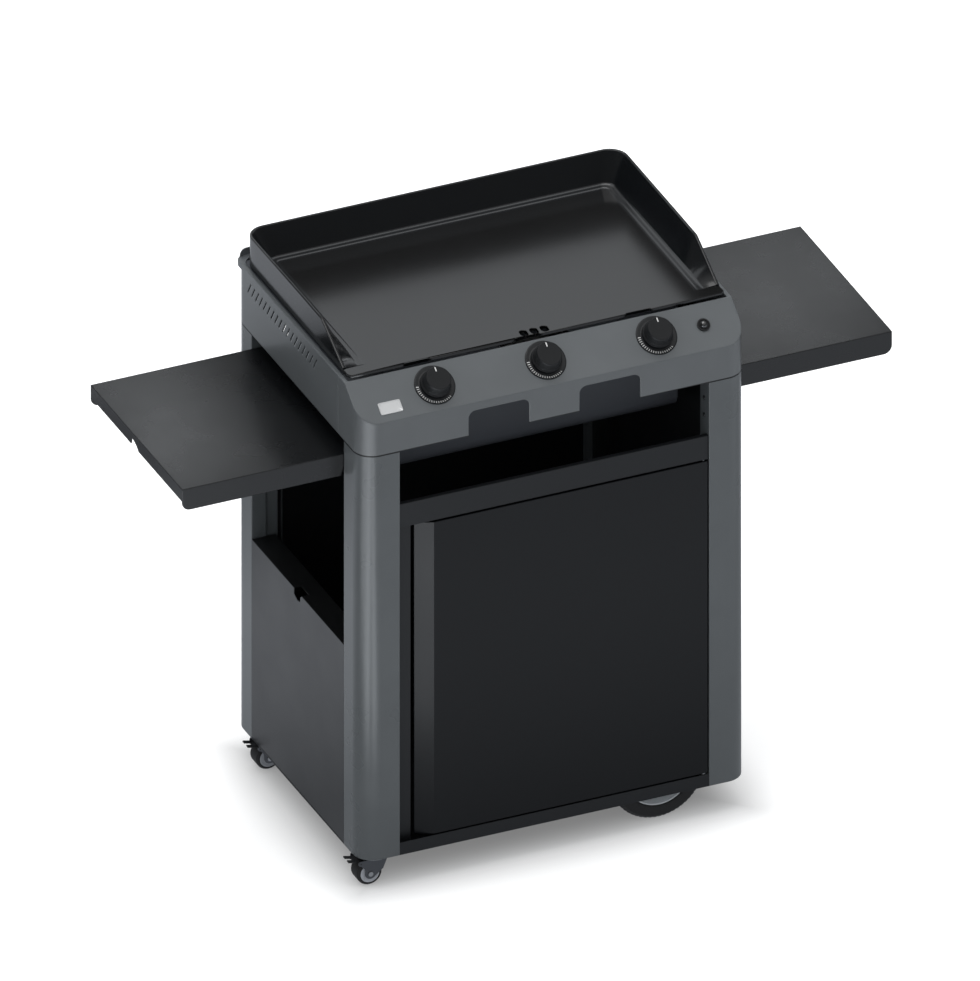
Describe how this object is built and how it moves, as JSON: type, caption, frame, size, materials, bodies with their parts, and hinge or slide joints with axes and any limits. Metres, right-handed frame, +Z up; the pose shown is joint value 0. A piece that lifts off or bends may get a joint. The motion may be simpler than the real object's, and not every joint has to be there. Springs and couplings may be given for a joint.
{
  "type": "gas griddle station",
  "caption": "Outdoor gas griddle on a wheeled steel cabinet with a pan door, an open bay, a sloping control panel with knobs and two folding side shelves.",
  "frame": {"origin": "on the floor under the middle of the cabinet, halfway between its legs' outer faces", "axes": "+X to the right as seen from the front, +Y to the back, +Z up"},
  "size_m": [1.376, 0.555, 1.073],
  "materials": {
    "frame_coat": "satin powder coat",
    "casing_coat": "satin powder coat",
    "dark_coat": "satin powder coat",
    "panel_coat": "satin powder coat",
    "door_coat": "satin powder coat",
    "shelf_coat": "satin powder coat",
    "griddle_enamel": "smooth dark enamel",
    "box_steel": "matt heat-proof coat",
    "stainless": "brushed",
    "plated_steel": "zinc plated",
    "screw_steel": "blackened",
    "caster_steel": "dark pressed steel",
    "tap_brass": "cast and machined",
    "tyre_rubber": "matt",
    "rim_plastic": "moulded, pale grey",
    "knob_plastic": "moulded, black",
    "dark_plastic": "moulded, black",
    "gloss_plastic": "moulded, black",
    "plate_metal": "bare plate, blank",
    "ceramic_white": "glazed"
  },
  "bodies": {
    "root": {"leg_front_left": "frame_coat", "leg_front_right": "frame_coat", "leg_back_left": "frame_coat", "leg_back_right": "frame_coat", "leg_screws": "screw_steel", "base_tray": "dark_coat", "back_panel": "dark_coat", "inner_wall": "dark_coat", "side_panel_left": "panel_coat", "side_panel_right": "panel_coat", "front_rail": "dark_coat", "door_stile": "dark_coat", "door_pivot_upper": "plated_steel", "door_pivot_lower": "plated_steel", "door_catch": "dark_plastic", "wheel_arch_front": "dark_coat", "wheel_arch_back": "dark_coat", "wheel_axles": "plated_steel", "caster_plates": "plated_steel", "casing": "casing_coat", "control_panel": "casing_coat", "label_plate": "plate_metal", "burner_box": "box_steel", "burner_left": "stainless", "burner_middle": "stainless", "burner_right": "stainless", "gas_pipe": "plated_steel", "gas_taps": "tap_brass", "gas_nozzles": "tap_brass", "dial_rings": "dark_plastic", "igniter_body": "dark_plastic", "igniter_electrode": "ceramic_white", "plate_pads": "stainless", "grease_cup": "stainless", "cup_bracket": "box_steel", "fold_pins": "plated_steel"},
    "griddle": {"griddle_plate": "griddle_enamel", "splash_guard": "griddle_enamel"},
    "door": {"door": "door_coat"},
    "side_shelf_left": {"side_shelf_left": "shelf_coat"},
    "side_shelf_right": {"side_shelf_right": "shelf_coat"},
    "spindle_left": {"spindle_left": "plated_steel"},
    "spindle_middle": {"spindle_middle": "plated_steel"},
    "spindle_right": {"spindle_right": "plated_steel"},
    "knob_left": {"knob_left": "knob_plastic"},
    "knob_middle": {"knob_middle": "knob_plastic"},
    "knob_right": {"knob_right": "knob_plastic"},
    "igniter_button": {"igniter_button": "gloss_plastic"},
    "caster_fork_front": {"caster_fork_front": "caster_steel", "caster_axle_front": "plated_steel"},
    "caster_fork_back": {"caster_fork_back": "caster_steel", "caster_axle_back": "plated_steel"},
    "caster_wheel_front": {"caster_wheel_front": "tyre_rubber"},
    "caster_wheel_back": {"caster_wheel_back": "tyre_rubber"},
    "brake_lever_front": {"brake_lever_front": "dark_plastic"},
    "brake_lever_back": {"brake_lever_back": "dark_plastic"},
    "wheel_front": {"tyre_front": "tyre_rubber", "rim_front": "rim_plastic"},
    "wheel_back": {"tyre_back": "tyre_rubber", "rim_back": "rim_plastic"}
  },
  "joints": [
    {"name": "griddle_lift", "type": "slide", "parent": "root", "child": "griddle", "axis": [0, 0, 1], "range_m": [0, 0.12]},
    {"name": "door_hinge", "type": "hinge", "parent": "root", "child": "door", "pos_m": [0.291, -0.2705, 0.4], "axis": [0, 0, 1], "range_deg": [0, 110]},
    {"name": "shelf_fold_left", "type": "hinge", "parent": "root", "child": "side_shelf_left", "pos_m": [-0.363, 0, 0.848], "axis": [0, -1, 0], "range_deg": [0, 90]},
    {"name": "shelf_fold_right", "type": "hinge", "parent": "root", "child": "side_shelf_right", "pos_m": [0.363, 0, 0.848], "axis": [0, 1, 0], "range_deg": [0, 90]},
    {"name": "knob_press_left", "type": "slide", "parent": "root", "child": "spindle_left", "axis": [0, 0.5947, -0.8039], "range_m": [0, 0.004], "stiffness_N_per_m": 800, "springref_m": -0.001},
    {"name": "knob_turn_left", "type": "hinge", "parent": "spindle_left", "child": "knob_left", "pos_m": [-0.215, -0.23808, 0.98516], "axis": [0, -0.5947, 0.8039], "range_deg": [0, 215]},
    {"name": "knob_press_middle", "type": "slide", "parent": "root", "child": "spindle_middle", "axis": [0, 0.5947, -0.8039], "range_m": [0, 0.004], "stiffness_N_per_m": 800, "springref_m": -0.001},
    {"name": "knob_turn_middle", "type": "hinge", "parent": "spindle_middle", "child": "knob_middle", "pos_m": [0, -0.23808, 0.98516], "axis": [0, -0.5947, 0.8039], "range_deg": [0, 215]},
    {"name": "knob_press_right", "type": "slide", "parent": "root", "child": "spindle_right", "axis": [0, 0.5947, -0.8039], "range_m": [0, 0.004], "stiffness_N_per_m": 800, "springref_m": -0.001},
    {"name": "knob_turn_right", "type": "hinge", "parent": "spindle_right", "child": "knob_right", "pos_m": [0.215, -0.23808, 0.98516], "axis": [0, -0.5947, 0.8039], "range_deg": [0, 215]},
    {"name": "igniter_press", "type": "slide", "parent": "root", "child": "igniter_button", "axis": [0, 0.5947, -0.8039], "range_m": [0, 0.004], "stiffness_N_per_m": 600, "springref_m": -0.001},
    {"name": "caster_swivel_front", "type": "hinge", "parent": "root", "child": "caster_fork_front", "pos_m": [-0.337, -0.2415, 0.053], "axis": [0, 0, 1], "continuous": true},
    {"name": "caster_spin_front", "type": "hinge", "parent": "caster_fork_front", "child": "caster_wheel_front", "pos_m": [-0.349, -0.2415, 0.0241], "axis": [0, 1, 0], "continuous": true},
    {"name": "brake_press_front", "type": "hinge", "parent": "caster_fork_front", "child": "brake_lever_front", "pos_m": [-0.367, -0.2415, 0.048], "axis": [0, -1, 0], "range_deg": [0, 14]},
    {"name": "caster_swivel_back", "type": "hinge", "parent": "root", "child": "caster_fork_back", "pos_m": [-0.337, 0.2005, 0.053], "axis": [0, 0, 1], "continuous": true},
    {"name": "caster_spin_back", "type": "hinge", "parent": "caster_fork_back", "child": "caster_wheel_back", "pos_m": [-0.349, 0.2005, 0.0241], "axis": [0, 1, 0], "continuous": true},
    {"name": "brake_press_back", "type": "hinge", "parent": "caster_fork_back", "child": "brake_lever_back", "pos_m": [-0.367, 0.2005, 0.048], "axis": [0, -1, 0], "range_deg": [0, 14]},
    {"name": "wheel_spin_front", "type": "hinge", "parent": "root", "child": "wheel_front", "pos_m": [0.215, -0.2335, 0.09], "axis": [0, 1, 0], "continuous": true},
    {"name": "wheel_spin_back", "type": "hinge", "parent": "root", "child": "wheel_back", "pos_m": [0.215, 0.2335, 0.09], "axis": [0, 1, 0], "continuous": true}
  ]
}
